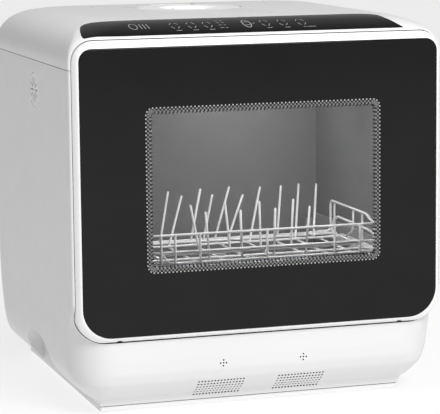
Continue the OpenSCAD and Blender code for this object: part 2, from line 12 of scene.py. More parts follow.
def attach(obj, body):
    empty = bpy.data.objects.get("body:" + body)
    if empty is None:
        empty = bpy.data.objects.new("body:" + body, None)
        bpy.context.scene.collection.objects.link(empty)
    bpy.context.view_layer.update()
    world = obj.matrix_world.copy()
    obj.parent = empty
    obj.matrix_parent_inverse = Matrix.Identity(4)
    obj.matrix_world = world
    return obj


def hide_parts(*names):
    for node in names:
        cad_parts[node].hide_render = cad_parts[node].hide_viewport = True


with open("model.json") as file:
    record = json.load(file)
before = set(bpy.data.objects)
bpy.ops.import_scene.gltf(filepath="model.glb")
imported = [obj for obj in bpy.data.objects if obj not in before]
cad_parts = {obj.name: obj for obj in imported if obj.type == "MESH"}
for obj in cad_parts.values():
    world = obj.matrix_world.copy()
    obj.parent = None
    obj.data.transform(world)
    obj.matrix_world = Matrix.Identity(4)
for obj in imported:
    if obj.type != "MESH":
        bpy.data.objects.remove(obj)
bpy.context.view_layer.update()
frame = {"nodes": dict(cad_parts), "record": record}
random.seed(7)

Y_MID = 195.0      # the casing's front rim lies this far in front of the origin
HW = 210.0
DEPTH = 380.0
WALL = 2.5


def to_m(p):
    return (p[0] * 0.001, (p[1] - Y_MID) * 0.001, p[2] * 0.001)


# ---------------------------------------------------------------- materials
def new_mat(name):
    m = bpy.data.materials.new(name)
    m.use_nodes = True
    nt = m.node_tree
    bsdf = nt.nodes["Principled BSDF"]
    return m, nt, bsdf


def obj_coords(nt, stretch=(1, 1, 1)):
    tc = nt.nodes.new("ShaderNodeTexCoord")
    mp = nt.nodes.new("ShaderNodeMapping")
    mp.inputs["Scale"].default_value = stretch
    nt.links.new(tc.outputs["Object"], mp.inputs["Vector"])
    return mp.outputs["Vector"]


def noise(nt, vec, scale, detail=3.0, rough=0.5):
    n = nt.nodes.new("ShaderNodeTexNoise")
    n.inputs["Scale"].default_value = scale
    n.inputs["Detail"].default_value = detail
    n.inputs["Roughness"].default_value = rough
    nt.links.new(vec, n.inputs["Vector"])
    return n.outputs["Fac"]


def map_range(nt, fac, a, b, c, d):
    r = nt.nodes.new("ShaderNodeMapRange")
    for i, v in zip((1, 2, 3, 4), (a, b, c, d)):
        r.inputs[i].default_value = v
    nt.links.new(fac, r.inputs[0])
    return r.outputs[0]


def math_node(nt, op, a, b):
    n = nt.nodes.new("ShaderNodeMath")
    n.operation = op
    n.use_clamp = False
    for i, v in ((0, a), (1, b)):
        if isinstance(v, (int, float)):
            n.inputs[i].default_value = v
        else:
            nt.links.new(v, n.inputs[i])
    return n.outputs[0]


def colour_mix(nt, fac, a, b):
    n = nt.nodes.new("ShaderNodeMix")
    n.data_type = "RGBA"
    nt.links.new(fac, n.inputs[0])
    for i, v in ((6, a), (7, b)):
        if isinstance(v, (tuple, list)):
            n.inputs[i].default_value = (v[0], v[1], v[2], 1)
        else:
            nt.links.new(v, n.inputs[i])
    return n.outputs[2]


def add_bump(nt, bsdf, heights):
    """heights: list of (fac, distance in metres, strength)"""
    last = None
    for fac, dist, strength in heights:
        b = nt.nodes.new("ShaderNodeBump")
        b.inputs["Distance"].default_value = dist
        b.inputs["Strength"].default_value = strength
        nt.links.new(fac, b.inputs["Height"])
        if last is not None:
            nt.links.new(last, b.inputs["Normal"])
        last = b.outputs["Normal"]
    nt.links.new(last, bsdf.inputs["Normal"])


def edge_mask(nt, lo=0.53, hi=0.62):
    g = nt.nodes.new("ShaderNodeNewGeometry")
    return map_range(nt, g.outputs["Pointiness"], lo, hi, 0.0, 1.0)


def plastic(name, col, rough=0.35, grain=2200.0, grain_mm=0.02, spread=0.03, wave_mm=0.03, spec=0.5, coat=0.0,
            wear=0.06, rough_spread=0.06):
    """moulded plastic: fine grain, faint waviness, slight tone drift, polished edges"""
    m, nt, bsdf = new_mat(name)
    v = obj_coords(nt)
    drift = noise(nt, v, 9.0, 2.0)
    fine = noise(nt, v, grain, 2.0, 0.6)
    wave = noise(nt, v, 28.0, 2.0)
    smear = noise(nt, v, 60.0, 5.0, 0.65)
    a = tuple(max(0, c * (1 - spread)) for c in col)
    b = tuple(min(1, c * (1 + spread)) for c in col)
    base = colour_mix(nt, map_range(nt, drift, 0.3, 0.7, 0, 1), a, b)
    em = edge_mask(nt)
    worn = tuple(min(1, c + wear * (1 - c)) for c in col)
    base = colour_mix(nt, math_node(nt, "MULTIPLY", em, math_node(nt, "MULTIPLY", smear, 0.9)), base, worn)
    nt.links.new(base, bsdf.inputs["Base Color"])
    r = map_range(nt, smear, 0.3, 0.7, rough - rough_spread, rough + rough_spread)
    r = math_node(nt, "SUBTRACT", r, math_node(nt, "MULTIPLY", em, 0.05))
    nt.links.new(r, bsdf.inputs["Roughness"])
    bsdf.inputs["Specular IOR Level"].default_value = spec
    bsdf.inputs["Coat Weight"].default_value = coat
    bsdf.inputs["Coat Roughness"].default_value = 0.12
    add_bump(nt, bsdf, [(wave, wave_mm * 0.001, 0.5), (fine, grain_mm * 0.001, 0.6)])
    return m


def brushed(name, col, rough=0.3, along="x", scratch=1.0, metallic=1.0, aniso=0.4):
    m, nt, bsdf = new_mat(name)
    st = {"x": (14, 900, 900), "y": (900, 14, 900), "z": (900, 900, 14)}[along]
    v = obj_coords(nt, st)
    v2 = obj_coords(nt)
    lines = noise(nt, v, 1.6, 4.0, 0.7)
    blot = noise(nt, v2, 22.0, 4.0)
    a = tuple(c * 0.9 for c in col)
    b = tuple(min(1, c * 1.06) for c in col)
    nt.links.new(colour_mix(nt, map_range(nt, lines, 0.3, 0.7, 0, 1), a, b), bsdf.inputs["Base Color"])
    bsdf.inputs["Metallic"].default_value = metallic
    r = math_node(nt, "ADD", map_range(nt, lines, 0.3, 0.7, rough - 0.06, rough + 0.06),
                  map_range(nt, blot, 0.3, 0.7, -0.04, 0.04))
    nt.links.new(r, bsdf.inputs["Roughness"])
    bsdf.inputs["Anisotropic"].default_value = aniso
    add_bump(nt, bsdf, [(blot, 0.0001, 0.15), (lines, 0.00001 * scratch, 0.5)])
    return m


def rubber(name, col=(0.03, 0.03, 0.032), rough=0.6):
    m, nt, bsdf = new_mat(name)
    v = obj_coords(nt)
    fine = noise(nt, v, 3000.0, 2.0)
    dust = noise(nt, v, 120.0, 5.0, 0.7)
    dusty = tuple(min(1, c + 0.035) for c in col)
    nt.links.new(colour_mix(nt, map_range(nt, dust, 0.45, 0.8, 0, 1), col, dusty), bsdf.inputs["Base Color"])
    nt.links.new(map_range(nt, dust, 0.3, 0.7, rough - 0.08, rough + 0.1), bsdf.inputs["Roughness"])
    add_bump(nt, bsdf, [(fine, 0.00004, 0.5)])
    return m


def black_glass(name, col=(0.003, 0.003, 0.0033), rough=0.025, ior=1.5):
    m, nt, bsdf = new_mat(name)
    v = obj_coords(nt)
    haze = noise(nt, v, 14.0, 4.0, 0.6)
    fine = noise(nt, v, 900.0, 3.0, 0.6)
    nt.links.new(colour_mix(nt, map_range(nt, haze, 0.35, 0.75, 0, 1), col, tuple(c * 1.5 for c in col)), bsdf.inputs["Base Color"])
    nt.links.new(map_range(nt, haze, 0.3, 0.75, rough * 0.6, rough * 1.8), bsdf.inputs["Roughness"])
    bsdf.inputs["IOR"].default_value = ior
    add_bump(nt, bsdf, [(haze, 0.000004, 0.2), (fine, 0.0000004, 0.2)])
    return m


def clear_glass(name, tint=(0.80, 0.82, 0.83), rough=0.0):
    m, nt, bsdf = new_mat(name)
    v = obj_coords(nt)
    haze = noise(nt, v, 40.0, 4.0, 0.6)
    nt.links.new(colour_mix(nt, map_range(nt, haze, 0.4, 0.8, 0, 1), tint, tuple(c * 0.97 for c in tint)), bsdf.inputs["Base Color"])
    bsdf.inputs["Transmission Weight"].default_value = 1.0
    bsdf.inputs["IOR"].default_value = 1.26
    nt.links.new(map_range(nt, haze, 0.4, 0.9, rough, rough + 0.02), bsdf.inputs["Roughness"])
    return m


def circuit(name):
    m, nt, bsdf = new_mat(name)
    v = obj_coords(nt)
    vor = nt.nodes.new("ShaderNodeTexVoronoi")
    vor.distance = "MANHATTAN"
    vor.feature = "DISTANCE_TO_EDGE"
    vor.inputs["Scale"].default_value = 260.0
    nt.links.new(v, vor.inputs["Vector"])
    lines = map_range(nt, vor.outputs["Distance"], 0.02, 0.06, 1.0, 0.0)
    nt.links.new(colour_mix(nt, lines, (0.02, 0.13, 0.06), (0.06, 0.26, 0.13)), bsdf.inputs["Base Color"])
    bsdf.inputs["Roughness"].default_value = 0.35
    add_bump(nt, bsdf, [(lines, 0.00005, 0.5)])
    return m


M = {}
M["white_shell"] = plastic("white_shell", (0.72, 0.72, 0.72), rough=0.38, grain=2600, grain_mm=0.012, spread=0.008)
M["cover_white"] = plastic("cover_white", (0.78, 0.78, 0.78), rough=0.36, grain=2600, grain_mm=0.012, spread=0.008)
M["door_white"] = plastic("door_white", (0.84, 0.84, 0.84), rough=0.3, grain=2600, grain_mm=0.008, spread=0.006, coat=0.15)
M["plinth_white"] = plastic("plinth_white", (0.82, 0.82, 0.82), rough=0.45, grain=1800, grain_mm=0.03, spread=0.012)
M["vent_white"] = plastic("vent_white", (0.78, 0.78, 0.78), rough=0.4, grain=2000, grain_mm=0.015, spread=0.01)
M["lid_white"] = plastic("lid_white", (0.96, 0.96, 0.96), rough=0.34, grain=2400, grain_mm=0.012, spread=0.01)
M["foot_rubber"] = rubber("foot_rubber")
M["zinc_sheet"] = brushed("zinc_sheet", (0.58, 0.59, 0.61), 0.42, "z", 1.5)
M["panel_black"] = black_glass("panel_black", (0.004, 0.004, 0.0042), 0.06, 1.2)
M["board_green"] = circuit("board_green")
M["tank_plastic"] = plastic("tank_plastic", (0.72, 0.76, 0.79), rough=0.42, grain=900, grain_mm=0.03, spread=0.03)
M["funnel_white"] = plastic("funnel_white", (0.76, 0.76, 0.76), rough=0.42)
M["stainless"] = brushed("stainless", (0.66, 0.67, 0.68), 0.3, "z", 1.0)
M["steel_bright"] = brushed("steel_bright", (0.68, 0.69, 0.71), 0.25, "x", 0.7)
M["seal_rubber"] = rubber("seal_rubber", (0.035, 0.035, 0.037))
M["dark_plastic"] = plastic("dark_plastic", (0.035, 0.036, 0.04), rough=0.45, grain=1500, grain_mm=0.03, spread=0.12, wear=0.08)
M["grey_plastic"] = plastic("grey_plastic", (0.32, 0.34, 0.37), rough=0.42, grain=1500, grain_mm=0.03, spread=0.06)
M["arm_grey"] = plastic("arm_grey", (0.30, 0.32, 0.35), rough=0.4, grain=1500, grain_mm=0.03, spread=0.06)
M["hose_rubber"] = rubber("hose_rubber", (0.02, 0.02, 0.022), 0.5)
M["motor_grey"] = plastic("motor_grey", (0.13, 0.14, 0.15), rough=0.4, grain=1100, grain_mm=0.04, spread=0.08)
M["valve_blue"] = plastic("valve_blue", (0.05, 0.11, 0.3), rough=0.42, spread=0.06)
M["fitting_white"] = plastic("fitting_white", (0.7, 0.7, 0.69), rough=0.42, spread=0.03)
M["lamp_cover"] = plastic("lamp_cover", (0.85, 0.85, 0.8), rough=0.3, spread=0.02)
M["rail_plastic"] = plastic("rail_plastic", (0.3, 0.3, 0.3), rough=0.4, spread=0.03)
M["glass_black"] = black_glass("glass_black", ior=1.3)
M["pane_clear"] = clear_glass("pane_clear", (0.94, 0.94, 0.94))
M["pane_tinted"] = clear_glass("pane_tinted", (0.62, 0.62, 0.62))
M["liner_grey"] = plastic("liner_grey", (0.5, 0.51, 0.53), rough=0.4, spread=0.03)
M["cup_grey"] = plastic("cup_grey", (0.42, 0.44, 0.47), rough=0.4, spread=0.04)
M["magnet_dark"] = plastic("magnet_dark", (0.05, 0.05, 0.055), rough=0.5, spread=0.1)
M["wire_coated"] = plastic("wire_coated", (0.86, 0.86, 0.86), rough=0.28, grain=1600, grain_mm=0.02, spread=0.02, coat=0.3)
M["runner_white"] = plastic("runner_white", (0.74, 0.75, 0.76), rough=0.4, spread=0.02)
M["impeller_white"] = plastic("impeller_white", (0.6, 0.6, 0.57), rough=0.4, spread=0.03)
M["plunger_red"] = plastic("plunger_red", (0.5, 0.04, 0.03), rough=0.4, spread=0.05)
M["filter_grey"] = plastic("filter_grey", (0.34, 0.35, 0.37), rough=0.42, spread=0.05)
M["symbol_grey"] = plastic("symbol_grey", (0.3, 0.3, 0.3), rough=0.5, spread=0.02)
M["frit_light"] = plastic("frit_light", (0.34, 0.34, 0.34), rough=0.5, spread=0.02)
M["frit_mid"] = plastic("frit_mid", (0.12, 0.12, 0.12), rough=0.5, spread=0.02)
# near-black painted shade for the shell's hidden inner walls and the deep walls of the door opening, where the real
# white plastic lies in shadow
M["cavity_painted_shade"] = plastic("cavity_painted_shade", (0.018, 0.018, 0.019), rough=0.6, grain=1500, grain_mm=0.03, spread=0.1, wear=0.02)
# dark grey for the tub in place of bright steel: painted shade of the closed interior seen through the window
M["tub_painted_shade"] = plastic("tub_painted_shade", (0.17, 0.17, 0.17), rough=0.34, grain=700, grain_mm=0.004, spread=0.02, wave_mm=0.02, wear=0.03)

# the tub takes the dark grey painted-shade material instead of its own slot; every other node keeps its slot
for sp in frame["record"]["subparts"]:
    o = frame["nodes"].get(sp["node"])
    if o is None:
        continue
    o.data.materials.clear()
    o.data.materials.append(M["tub_painted_shade" if sp["node"] == "tub" else sp["material_slot"]])


# ---------------------------------------------------------------- mesh helpers
def make_obj(name, verts, faces, mat, raw=False):
    me = bpy.data.meshes.new(name)
    me.from_pydata([v if raw else to_m(v) for v in verts], [], faces)
    me.validate()
    me.update()
    ob = bpy.data.objects.new(name, me)
    bpy.context.scene.collection.objects.link(ob)
    if mat is not None:
        me.materials.append(mat)
    return ob


def fix_normals(ob):
    bm = bmesh.new()
    bm.from_mesh(ob.data)
    bmesh.ops.recalc_face_normals(bm, faces=bm.faces)
    bm.to_mesh(ob.data)
    bm.free()


def bake_modifiers(ob):
    dg = bpy.context.evaluated_depsgraph_get()
    me = bpy.data.meshes.new_from_object(ob.evaluated_get(dg))
    old = ob.data
    ob.modifiers.clear()
    ob.data = me
    me.name = ob.name
    bpy.data.meshes.remove(old)


def boolean(ob, tools, op="DIFFERENCE"):
    for t in tools:
        md = ob.modifiers.new("b", "BOOLEAN")
        md.operation = op
        md.solver = "EXACT"
        md.object = t
    bake_modifiers(ob)
    for t in tools:
        me = t.data
        bpy.data.objects.remove(t)
        bpy.data.meshes.remove(me)


def bevel(ob, width, angle=40, seg=2):
    md = ob.modifiers.new("bev", "BEVEL")
    md.width = width * 0.001
    md.segments = seg
    md.limit_method = "ANGLE"
    md.angle_limit = math.radians(angle)
    md.use_clamp_overlap = True
    md.miter_outer = "MITER_ARC"
    bake_modifiers(ob)


def shade(ob, angle=35, weighted=True):
    me = ob.data
    bm = bmesh.new()
    bm.from_mesh(me)
    lim = math.radians(angle)
    for f in bm.faces:
        f.smooth = True
    for e in bm.edges:
        if len(e.link_faces) == 2:
            e.smooth = e.calc_face_angle(0) < lim
        else:
            e.smooth = False
    bm.to_mesh(me)
    bm.free()
    if weighted:
        md = ob.modifiers.new("wn", "WEIGHTED_NORMAL")
        md.keep_sharp = True
        md.mode = "FACE_AREA"
        md.weight = 60


def place(ob, body, *nodes, slot=None):
    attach(ob, body)
    if nodes:
        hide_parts(*nodes)


def pchip(xs, ys):
    xs = np.asarray(xs, float)
    ys = np.asarray(ys, float)
    h = np.diff(xs)
    d = np.diff(ys) / h
    m = np.zeros_like(ys)
    for i in range(1, len(xs) - 1):
        if d[i - 1] * d[i] > 0:
            w1, w2 = 2 * h[i] + h[i - 1], h[i] + 2 * h[i - 1]
            m[i] = (w1 + w2) / (w1 / d[i - 1] + w2 / d[i])
    m[0], m[-1] = d[0], d[-1]

    def f(x):
        x = min(max(x, xs[0]), xs[-1])
        i = min(int(np.searchsorted(xs, x, side="right")) - 1, len(xs) - 2)
        t = (x - xs[i]) / h[i]
        return float((1 + 2 * t) * (1 - t) ** 2 * ys[i] + t * (1 - t) ** 2 * h[i] * m[i]
                     + t * t * (3 - 2 * t) * ys[i + 1] + t * t * (t - 1) * h[i] * m[i + 1])
    return f


def arc(cx, cy, r, a0, a1, n):
    return [(cx + r * math.cos(math.radians(a0 + (a1 - a0) * i / n)),
             cy + r * math.sin(math.radians(a0 + (a1 - a0) * i / n))) for i in range(n + 1)]


def between(p, q, n):
    return [(p[0] + (q[0] - p[0]) * i / (n + 1), p[1] + (q[1] - p[1]) * i / (n + 1)) for i in range(1, n + 1)]


def plan(s, f, r, rf, rr, e=0.0, nc=14, nx=34, ny=26):
    x, a, b = HW - s - e, f + e, DEPTH - r - e
    p, q = max(rf - e, 0.6), max(rr - e, 0.6)
    c = [arc(x - p, a + p, p, 270, 360, nc), arc(x - q, b - q, q, 0, 90, nc),
         arc(-x + q, b - q, q, 90, 180, nc), arc(-x + p, a + p, p, 180, 270, nc)]
    out = []
    for i, n in enumerate((ny, nx, ny, nx)):
        out += c[i] + between(c[i][-1], c[(i + 1) % 4][0], n)
    return out


def rrect(w, z0, z1, rb, rt, nc=12, nx=24, nz=18):
    c = [arc(w - rt, z1 - rt, rt, 0, 90, nc), arc(-w + rt, z1 - rt, rt, 90, 180, nc),
         arc(-w + rb, z0 + rb, rb, 180, 270, nc), arc(w - rb, z0 + rb, rb, 270, 360, nc)]
    out = []
    for i, n in enumerate((nx, nz, nx, nz)):
        out += c[i] + between(c[i][-1], c[(i + 1) % 4][0], n)
    return out


def tube_rings(rings, closed=False, cap=True):
    """rings of equal length, each a list of 3-D points"""
    n, m = len(rings), len(rings[0])
    verts = [p for r in rings for p in r]
    faces = []
    for k in range(n if closed else n - 1):
        k2 = (k + 1) % n
        for i in range(m):
            j = (i + 1) % m
            faces.append((k * m + i, k * m + j, k2 * m + j, k2 * m + i))
    if cap and not closed:
        faces.append(tuple(reversed(range(m))))
        faces.append(tuple((n - 1) * m + i for i in range(m)))
    return verts, faces


def stack(zs, fn, e=0.0, dz=0.0, **kw):
    rings = []
    for z in zs:
        s, f, r, rf, rr = fn(z)
        rings.append([(p[0], p[1], z - dz) for p in plan(s, f, r, rf, rr, e, **kw)])
    return tube_rings(rings)


def prism_y(outline, y0, y1, name="t"):
    rings = [[(p[0], y, p[1]) for p in outline] for y in (y0, y1)]
    ob = make_obj(name, *tube_rings(rings), None)
    fix_normals(ob)
    return ob


def prism_x(outline, x0, x1, name="t"):
    rings = [[(x, p[0], p[1]) for p in outline] for x in (x0, x1)]
    ob = make_obj(name, *tube_rings(rings), None)
    fix_normals(ob)
    return ob


def prism_z(outline, z0, z1, name="t"):
    rings = [[(p[0], p[1], z) for p in outline] for z in (z0, z1)]
    ob = make_obj(name, *tube_rings(rings), None)
    fix_normals(ob)
    return ob


def cyl_between(a, b, r, n=16):
    a, b = Vector(a), Vector(b)
    d = (b - a).normalized()
    u = d.orthogonal().normalized()
    v = d.cross(u)
    return [[tuple(c + r * (math.cos(2 * math.pi * i / n) * u + math.sin(2 * math.pi * i / n) * v)) for i in range(n)]
            for c in (a, b)]


def many(parts, name, mat=None):
    """one object out of several ring stacks"""
    verts, faces = [], []
    for rings in parts:
        v, f = tube_rings(rings)
        o = len(verts)
        verts += v
        faces += [tuple(i + o for i in q) for q in f]
    ob = make_obj(name, verts, faces, mat)
    fix_normals(ob)
    return ob


# ---------------------------------------------------------------- casing shape
LOW = [(8, 35.6, 35.6, 0.5, 3, 3), (11, 35.4, 35.4, 0.5, 3.5, 3.5), (13.5, 34, 34, 0.5, 6, 6), (16, 31.8, 31.8, 0.5, 9, 8),
       (19, 27, 27, 0.5, 15, 11), (22, 22.6, 22.6, 0.5, 21, 14), (26, 17.5, 17.5, 0.5, 28, 18), (31, 12.9, 12.9, 0.5, 32, 22),
       (36, 9, 9, 0.5, 36, 25), (42, 6.1, 6.1, 1, 40, 28), (48, 3.8, 3.8, 2, 44, 30), (55, 2.6, 2.6, 2.2, 45, 30),
       (62, 1.6, 1.6, 1.8, 46, 30), (72, 0.9, 0.9, 1.2, 45, 29), (84, 0.4, 0.4, 0.8, 42, 27), (100, 0.1, 0.1, 0.3, 32, 24),
       (116, 0, 0, 0, 14, 21), (128, 0, 0, 0, 4, 20), (160, 0, 0, 0, 4, 20), (375.2, 0, 0, 0, 4, 20)]
low_f = [pchip([q[0] for q in LOW], [q[i] for q in LOW]) for i in range(1, 6)]


def low_fn(z):
    return [g(z) for g in low_f]


LOWIN = [(4, 35.6, 35.6, 0.5, 3, 3), (11.5, 35.4, 35.4, 0.5, 3.5, 3.5)] + \
        [(q[0] + 1.2,) + q[1:] for q in LOW if 12 < q[0] < 370] + [(380, 0, 0, 0, 4, 20)]
lowin_f = [pchip([q[0] for q in LOWIN], [q[i] for q in LOWIN]) for i in range(1, 6)]


def lowin_fn(z):
    return [g(z) for g in lowin_f]


def shoulder(z):
    t = min(1, max(0, (z - 376) / 46.0))
    return 60 * (1 - (1 - t ** 2.5) ** 0.4)


FRONT = [(375.4, 0), (395, 0), (402, 0), (406.5, 0.25), (409.5, 4.5), (413.5, 14), (417, 26), (419.7, 39), (421.3, 53), (422, 68)]
front_f = pchip([q[0] for q in FRONT], [q[1] for q in FRONT])


def up_fn(z):
    t = min(1, max(0, (z - 376) / 46.0))
    return [shoulder(z), front_f(z), 24 * (1 - math.sqrt(max(0, 1 - t ** 4))), 4 + 36 * t * t, 20 + 24 * t]


OPEN_W = HW - 2.8
zs_low = sorted(set([8 + 0.7 * i for i in range(7)] + [12.7 + 1.1 * i for i in range(30)] + [46 + 2.4 * i for i in range(41)]
                    + [145, 160, 185, 215, 245, 275, 305, 335, 360, 372, 375.05]))
zs_up = [375.65, 378, 381, 384, 387, 390, 392.5, 395, 397, 399, 401, 402.5, 404, 405.2, 406.2, 407, 407.8, 408.6, 409.4,
         410.2, 411, 411.8, 412.6, 413.4, 414.2, 415, 415.7, 416.4, 417, 417.6, 418.2, 418.8, 419.3, 419.8, 420.2, 420.6,
         420.95, 421.25, 421.5, 421.7, 421.83, 421.93, 421.98, 422.0]

# main housing
housing = make_obj("housing_shell", *stack(zs_low, low_fn), M["white_shell"])
fix_normals(housing)
inner = make_obj("t", *stack(sorted(set([4, 10, 14] + [16 + 2 * i for i in range(50)] + [130, 160, 220, 300, 360, 380])), lowin_fn, WALL,
                             nc=8, nx=6, ny=6), None)
fix_normals(inner)
ARCH = [(118, 18), (122, 38), (128, 49), (142, 58.5), (158, 64), (176, 66.6), (206, 66.6), (219, 63.5), (231, 56), (238, 46), (241, 34), (242, 18)]


def smooth_outline(pts, n=8, closed_flat=True):
    out = []
    for i in range(len(pts) - 1):
        p0, p1, p2, p3 = pts[max(i - 1, 0)], pts[i], pts[i + 1], pts[min(i + 2, len(pts) - 1)]
        for k in range(n):
            t = k / n
            out.append(tuple(0.5 * ((2 * p1[c]) + (-p0[c] + p2[c]) * t + (2 * p0[c] - 5 * p1[c] + 4 * p2[c] - p3[c]) * t * t
                                    + (-p0[c] + 3 * p1[c] - 3 * p2[c] + p3[c]) * t ** 3) for c in range(2)))
    out.append(pts[-1])
    return out


def grow(pts, e):
    cy, cz = 180.0, 18.0
    return [(cy + (p[0] - cy) * (1 + e / 60.0), cz + (p[1] - cz) * (1 + e / 48.0) if p[1] > 19 else p[1]) for p in pts]


arch = smooth_outline(ARCH, 4)
plug = prism_y(rrect(HW + 2, 81.6, 430, 36, 10, nx=2, nz=2), -5, 22)
linerL = prism_x(grow(arch, 2.4), -HW - 5, -HW + 26)
linerR = prism_x(grow(arch, 2.4), HW - 26, HW + 5)
boolean(inner, [plug, linerL, linerR])
opening = prism_y(rrect(OPEN_W, 84, 430, 33, 10, nx=2, nz=2), -3, 22.5)
archL = prism_x(arch, -HW - 1, -HW + 24)
archR = prism_x(arch, HW - 24, HW + 1)
rear = prism_y(rrect(192, 128, 362, 3, 3, nc=3, nx=1, nz=1), DEPTH - WALL - 1, DEPTH + 1)
vent_hole = many([cyl_between((-HW - 2, 160, 342), (-HW + 4, 160, 342), 19, 64)], "t")
boolean(housing, [inner, opening, archL, archR, rear, vent_hole])
bevel(housing, 0.7, 38, 2)
# perforations of the fascia: two grilles of small holes and two plus-shaped groups
holes = []


def fascia_dir(z):
    a, b = low_fn(z + 0.6), low_fn(z - 0.6)
    ty, tz = a[1] - b[1], 1.2
    n = Vector((0, -tz, ty)).normalized()
    n = Vector((0, -tz, -abs(ty))).normalized()
    return n


for gx in (-68.0, 23.6):
    for row in range(6):
        z = 32.2 - row * (32.2 - 13.6) / 5.0
        y = low_fn(z)[1]
        nrm = fascia_dir(z)
        for c in range(15):
            p = Vector((gx + c * 51.0 / 14, y, z))
            holes.append(cyl_between(p + nrm * 3, p - nrm * 7, 1.15, 12))
for px in (-43.0, 48.6):
    for dx, dz in ((0, 0), (3.3, 0), (-3.3, 0), (0, 3.3), (0, -3.3)):
        z = 53.3 + dz
        y = low_fn(z)[1]
        holes.append(cyl_between((px + dx, y - 3, z), (px + dx, y + 6, z), 0.95, 12))
for sx in (-196.5, 196.5):
    for sz in (140, 250, 350):
        holes.append(cyl_between((sx, DEPTH - 6, sz), (sx, DEPTH + 2, sz), 1.7, 16))
boolean(housing, [many(holes, "t")])
shade(housing, 32)
# faces more than 1.15 mm inside the wall, except the grip pockets, get the near-black painted-shade material, so the
# inner walls and the door gap read dark
housing.data.materials.append(M["cavity_painted_shade"])
for f in housing.data.polygons:
    x, y, z = f.center.x * 1000, f.center.y * 1000 + 195, f.center.z * 1000
    q = low_fn(min(max(z, 8.0), 375.2))
    ex, fy, ry, rf, rr = HW - q[0] - abs(x), y - q[1], DEPTH - q[2] - y, q[3], q[4]
    depth = min(ex, fy, ry)
    if ex < rf and fy < rf:
        depth = rf - math.hypot(rf - ex, rf - fy)
    elif ex < rr and ry < rr:
        depth = rr - math.hypot(rr - ex, rr - ry)
    deep = depth > 1.15 and z > 8.6
    recess = abs(x) > 180 and 112 < y < 247 and z < 72
    if deep and not recess:
        f.material_index = 1
place(housing, "cabinet", "main_housing", slot="white_shell")

# top cover
cover = make_obj("cover_shell", *stack(zs_up, up_fn), M["cover_white"])
fix_normals(cover)
bm = bmesh.new()
bm.from_mesh(cover.data)
cover_tree = BVHTree.FromBMesh(bm)
bm.free()


def top_z(x, y):
    hit = cover_tree.ray_cast(Vector(to_m((x, y, 460))), Vector((0, 0, -1)))
    return hit[0].z * 1000 if hit[0] is not None else 422.0


cin = make_obj("t", *stack([367.5] + zs_up[:-1], up_fn, WALL, WALL, nc=8, nx=8, ny=8), None)
fix_normals(cin)
plug = prism_y(rrect(HW + 2, 300, 408.8, 10, 28, nx=2, nz=2), -5, 22)
boolean(cin, [plug])
opening = prism_y(rrect(OPEN_W, 299, 406.6, 10, 24.5, nx=2, nz=2), -3, 22.5)
lid_hole = many([cyl_between((0, 262, 400), (0, 262, 430), 61.9, 128)], "t")
pocket = prism_z([(-26, 314), (26, 314), (26, 337), (-26, 337)], 410, 430)
boolean(cover, [cin, opening, lid_hole, pocket])


STRIP = [(-190, 5), (-150, 4), (166, 4), (164.3, 6.9),
         (161.3, 13.9), (158.2, 23.6), (155.4, 34.3), (154.6, 41),
         (153.9, 49.8), (151.6, 54.5), (146, 60), (140, 63),
         (128, 64), (-166, 64), (-173, 62.5), (-179, 58),
         (-183, 51), (-186.5, 39), (-189, 28), (-191, 16),
         (-191.3, 8)]


def strip_edge(e):
    n, out = len(STRIP), []
    for k in range(n):
        a, b = STRIP[k - 1], STRIP[(k + 1) % n]
        d = math.hypot(b[0] - a[0], b[1] - a[1])
        out.append((STRIP[k][0] + e * (b[1] - a[1]) / d, STRIP[k][1] - e * (b[0] - a[0]) / d))
    return out


def side_x(ring, y, left):
    """x where the outline's left or right side crosses y"""
    xs = []
    for k in range(len(ring)):
        a, b = ring[k - 1], ring[k]
        if min(a[1], b[1]) <= y <= max(a[1], b[1]) and abs(a[1] - b[1]) > 1e-9:
            xs.append(a[0] + (b[0] - a[0]) * (y - a[1]) / (b[1] - a[1]))
    return min(xs) if left else max(xs)


def strip_rows(e, nu, nv):
    """grid of (x, y) that fills the strip's outline: rows run from its left to its right end"""
    ring = strip_edge(e)
    y0, y1 = min(p[1] for p in ring) + 0.02, max(p[1] for p in ring) - 0.02
    lv = [y0 + (y1 - y0) * (0.5 - 0.5 * math.cos(math.pi * k / nv)) for k in range(nv + 1)]
    ends = [(side_x(ring, y, True), side_x(ring, y, False), y) for y in lv]
    return [[(a + (b - a) * (0.5 - 0.5 * math.cos(math.pi * i / nu)), y) for a, b, y in ends] for i in range(nu + 1)]


def on_top(rows, lift, thick, name, mat):
    """a thin closed plate that follows the top cover"""
    nu, nv = len(rows) - 1, len(rows[0]) - 1
    verts, faces = [], []
    for layer in (lift, lift - thick):
        for r in rows:
            for x, y in r:
                verts.append((x, y, top_z(x, y) + layer))
    w = nv + 1
    off = (nu + 1) * w
    for i in range(nu):
        for k in range(nv):
            a, b, c, d = i * w + k, (i + 1) * w + k, (i + 1) * w + k + 1, i * w + k + 1
            faces.append((a, b, c, d))
            faces.append((a + off, d + off, c + off, b + off))
    for i in range(nu):
        faces.append((i * w, i * w + off, (i + 1) * w + off, (i + 1) * w))
        faces.append((i * w + nv, (i + 1) * w + nv, (i + 1) * w + nv + off, i * w + nv + off))
    for k in range(nv):
        faces.append((k, k + 1, k + 1 + off, k + off))
        a = nu * w
        faces.append((a + k, a + k + off, a + k + 1 + off, a + k + 1))
    ob = make_obj(name, verts, faces, mat)
    fix_normals(ob)
    return ob


groove = on_top(strip_rows(0.25, 120, 30), 1.2, 2.6, "t", None)
boolean(cover, [groove])
bevel(cover, 0.45, 40, 2)
shade(cover, 30)
place(cover, "cabinet", "top_cover", slot="cover_white")

strip = on_top(strip_rows(0.0, 160, 36), -0.05, 1.2, "strip_panel", M["panel_black"])
bevel(strip, 0.25, 50, 2)
shade(strip, 40)
place(strip, "cabinet", "control_panel_glass", slot="panel_black")

